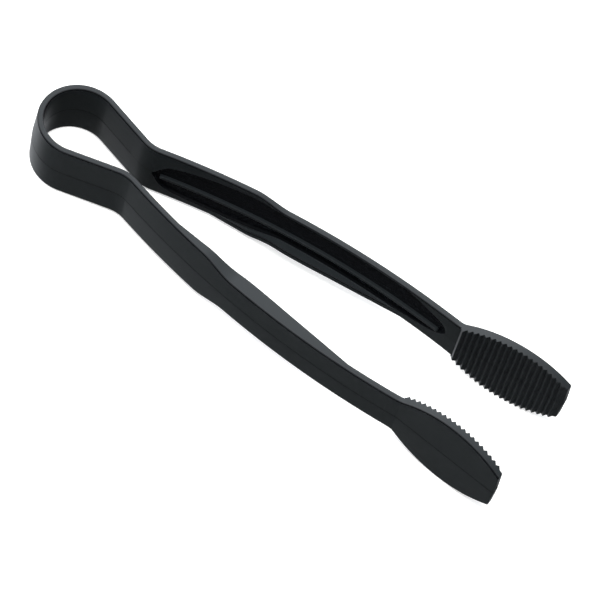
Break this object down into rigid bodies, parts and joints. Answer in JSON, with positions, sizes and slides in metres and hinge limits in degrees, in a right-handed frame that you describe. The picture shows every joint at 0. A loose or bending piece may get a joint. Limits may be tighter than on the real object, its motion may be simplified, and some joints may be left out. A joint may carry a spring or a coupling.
{
  "type": "spring loaded kitchen tongs",
  "caption": "One-piece moulded plastic serving tongs: a teardrop spring bow, two outward-bowed flanged arms with a ribbed leaf pocket, and flat leaf-shaped jaws with cross teeth.",
  "frame": {"origin": "middle of the tool's bounding box, on the mould's parting plane and midway between the arms", "axes": "+X from the spring bow to the jaws, +Y towards the left arm, +Z square to the plane in which the arms close"},
  "size_m": [0.231, 0.0538, 0.035],
  "materials": {
    "satin_black": "moulded satin",
    "polished_black": "moulded polished"
  },
  "bodies": {
    "bow": {"bow_crown": "satin_black"},
    "left_flex_1": {"bow_segment_1_left": "satin_black", "bow_segment_2_left": "satin_black"},
    "left_flex_2": {"bow_segment_3_left": "satin_black", "bow_segment_4_left": "satin_black"},
    "left_arm": {"bow_segment_5_left": "satin_black", "neck_left": "satin_black", "arm_left": "satin_black", "rib_left": "polished_black", "flange_left": "satin_black", "jaw_left": "satin_black", "jaw_teeth_left": "polished_black"},
    "right_flex_1": {"bow_segment_1_right": "satin_black", "bow_segment_2_right": "satin_black"},
    "right_flex_2": {"bow_segment_3_right": "satin_black", "bow_segment_4_right": "satin_black"},
    "right_arm": {"bow_segment_5_right": "satin_black", "neck_right": "satin_black", "arm_right": "satin_black", "rib_right": "polished_black", "flange_right": "satin_black", "jaw_right": "satin_black", "jaw_teeth_right": "polished_black"}
  },
  "joints": [
    {"name": "left_bend_1", "type": "hinge", "parent": "bow", "child": "left_flex_1", "pos_m": [-0.11127, 0.00426, 0], "axis": [0, 0, -1], "range_deg": [0, 2.12], "stiffness_Nm_per_rad": 57},
    {"name": "left_bend_2", "type": "hinge", "parent": "left_flex_1", "child": "left_flex_2", "pos_m": [-0.10376, 0.01261, 0], "axis": [0, 0, -1], "range_deg": [0, 2]},
    {"name": "left_bend_3", "type": "hinge", "parent": "left_flex_2", "child": "left_arm", "pos_m": [-0.0885, 0.01155, 0], "axis": [0, 0, -1], "range_deg": [0, 1.77]},
    {"name": "right_bend_1", "type": "hinge", "parent": "bow", "child": "right_flex_1", "pos_m": [-0.11127, -0.00426, 0], "axis": [0, 0, 1], "range_deg": [0, 2.13]},
    {"name": "right_bend_2", "type": "hinge", "parent": "right_flex_1", "child": "right_flex_2", "pos_m": [-0.10376, -0.01261, 0], "axis": [0, 0, 1], "range_deg": [0, 2]},
    {"name": "right_bend_3", "type": "hinge", "parent": "right_flex_2", "child": "right_arm", "pos_m": [-0.0885, -0.01155, 0], "axis": [0, 0, 1], "range_deg": [0, 1.77]}
  ],
  "couplings": [
    {"joint": "left_bend_2", "follows": "left_bend_1", "ratio": 0.94},
    {"joint": "left_bend_3", "follows": "left_bend_1", "ratio": 0.83},
    {"joint": "right_bend_1", "follows": "left_bend_1", "ratio": 1},
    {"joint": "right_bend_2", "follows": "left_bend_1", "ratio": 0.94},
    {"joint": "right_bend_3", "follows": "left_bend_1", "ratio": 0.83}
  ]
}
